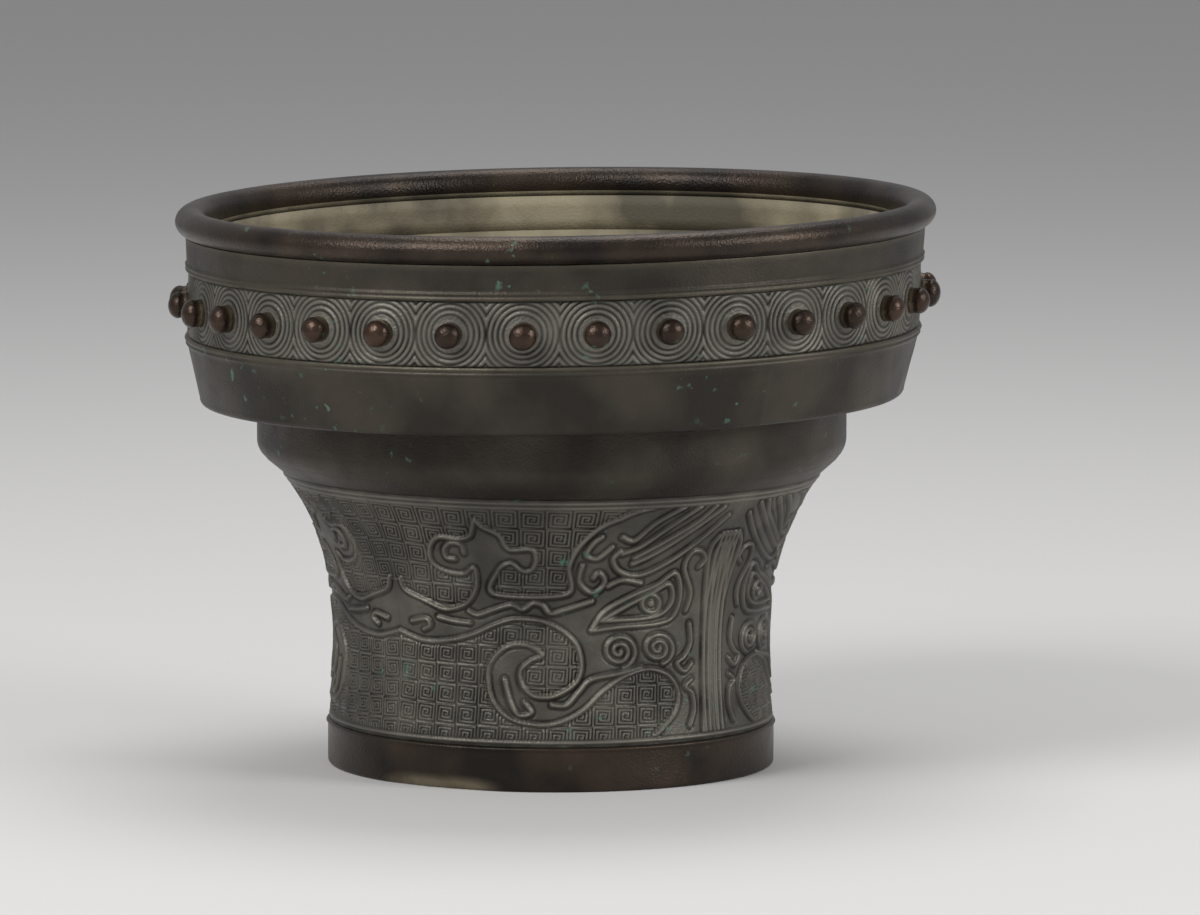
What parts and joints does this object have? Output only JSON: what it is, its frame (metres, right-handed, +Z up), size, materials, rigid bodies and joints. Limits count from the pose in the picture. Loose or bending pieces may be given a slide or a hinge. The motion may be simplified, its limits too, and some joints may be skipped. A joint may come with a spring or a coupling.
{
  "type": "studded bronze vase",
  "caption": "Bronze vase in archaic style: a wide studded drum with a round lip on a flared stem and plain foot ring.",
  "frame": {"origin": "centre of the foot's resting face on the ground", "axes": "+Z up along the vase's axis, -Y towards the viewer"},
  "size_m": [0.2246, 0.2246, 0.1635],
  "materials": {
    "bronze": "patinated",
    "dark_bronze": "matte",
    "worn_bronze": "polished"
  },
  "bodies": {
    "root": {"lip_ring": "worn_bronze", "rim_wall": "bronze", "boss_band": "dark_bronze", "drum_pan": "bronze", "shoulder_ring": "bronze", "stem": "dark_bronze", "foot_ring": "bronze", "base_plate": "dark_bronze", "boss_01": "worn_bronze", "boss_02": "worn_bronze", "boss_03": "worn_bronze", "boss_04": "worn_bronze", "boss_05": "worn_bronze", "boss_06": "worn_bronze", "boss_07": "worn_bronze", "boss_08": "worn_bronze", "boss_09": "worn_bronze", "boss_10": "worn_bronze", "boss_11": "worn_bronze", "boss_12": "worn_bronze", "boss_13": "worn_bronze", "boss_14": "worn_bronze", "boss_15": "worn_bronze", "boss_16": "worn_bronze", "boss_17": "worn_bronze", "boss_18": "worn_bronze", "boss_19": "worn_bronze", "boss_20": "worn_bronze", "boss_21": "worn_bronze", "boss_22": "worn_bronze", "boss_23": "worn_bronze", "boss_24": "worn_bronze", "boss_25": "worn_bronze", "boss_26": "worn_bronze", "boss_27": "worn_bronze", "boss_28": "worn_bronze", "boss_29": "worn_bronze", "boss_30": "worn_bronze", "boss_31": "worn_bronze", "boss_32": "worn_bronze"}
  },
  "joints": []
}
